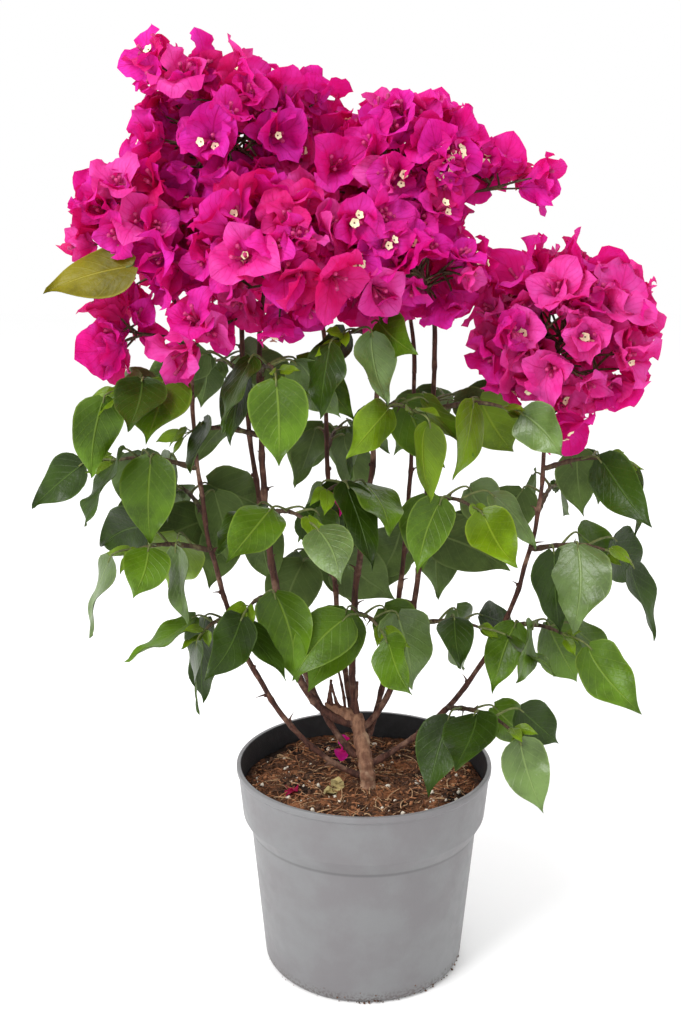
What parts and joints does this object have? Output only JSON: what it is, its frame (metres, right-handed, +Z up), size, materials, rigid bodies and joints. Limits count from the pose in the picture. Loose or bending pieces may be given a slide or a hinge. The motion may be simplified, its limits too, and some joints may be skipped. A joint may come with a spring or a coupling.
{
  "type": "potted bougainvillea",
  "caption": "Flowering bougainvillea bush in a round plastic nursery pot, with magenta bracts in heads above hanging leaves",
  "frame": {"origin": "centre of the pot's flat underside", "axes": "+Z up along the pot's axis and the plant's height, -Y towards the front, +X to the right as seen from the front"},
  "size_m": [0.4089, 0.2588, 0.6129],
  "materials": {
    "pot_plastic": "warm grey injection-moulded plastic, satin outside",
    "potting_mix": "moist brown fibrous potting compost with white perlite",
    "trunk_bark": "lightly fissured tan bark",
    "bough_bark": "smooth dark red-brown young bark with thorns",
    "bract_magenta": "thin papery veined magenta bracts",
    "leaf_green": "satin mid-green leaves with a paler midrib"
  },
  "bodies": {
    "root": {"pot": "pot_plastic", "potting_mix": "potting_mix", "trunk": "trunk_bark", "bough_far_left": "bough_bark", "bough_far_right": "bough_bark", "bough_centre": "bough_bark", "bough_inner_left": "bough_bark", "bough_inner_right": "bough_bark", "bough_back_left": "bough_bark", "bough_back": "bough_bark", "bough_back_right": "bough_bark", "blossom_front": "bract_magenta", "blossom_left": "bract_magenta", "blossom_top_left": "bract_magenta", "blossom_top_right": "bract_magenta", "blossom_inner_right": "bract_magenta", "blossom_right": "bract_magenta", "blossom_back_left": "bract_magenta", "blossom_back_right": "bract_magenta", "leaves_far_left_top": "leaf_green", "leaves_far_left_upper": "leaf_green", "leaves_far_left_middle": "leaf_green", "leaves_far_left_low": "leaf_green", "leaves_far_left_back": "leaf_green", "leaves_inner_left_top": "leaf_green", "leaves_inner_left_upper": "leaf_green", "leaves_inner_left_middle": "leaf_green", "leaves_inner_left_low": "leaf_green", "leaves_centre_top": "leaf_green", "leaves_centre_upper": "leaf_green", "leaves_centre_middle": "leaf_green", "leaves_centre_low": "leaf_green", "leaves_inner_right_upper": "leaf_green", "leaves_inner_right_middle": "leaf_green", "leaves_inner_right_low": "leaf_green", "leaves_far_right_top": "leaf_green", "leaves_far_right_middle": "leaf_green", "leaves_far_right_low": "leaf_green", "leaves_far_right_foot": "leaf_green", "leaves_far_right_back": "leaf_green", "leaves_back_left_upper": "leaf_green", "leaves_back_left_low": "leaf_green", "leaves_back_upper": "leaf_green", "leaves_back_low": "leaf_green", "leaves_back_right_upper": "leaf_green", "leaves_back_right_low": "leaf_green"}
  },
  "joints": []
}
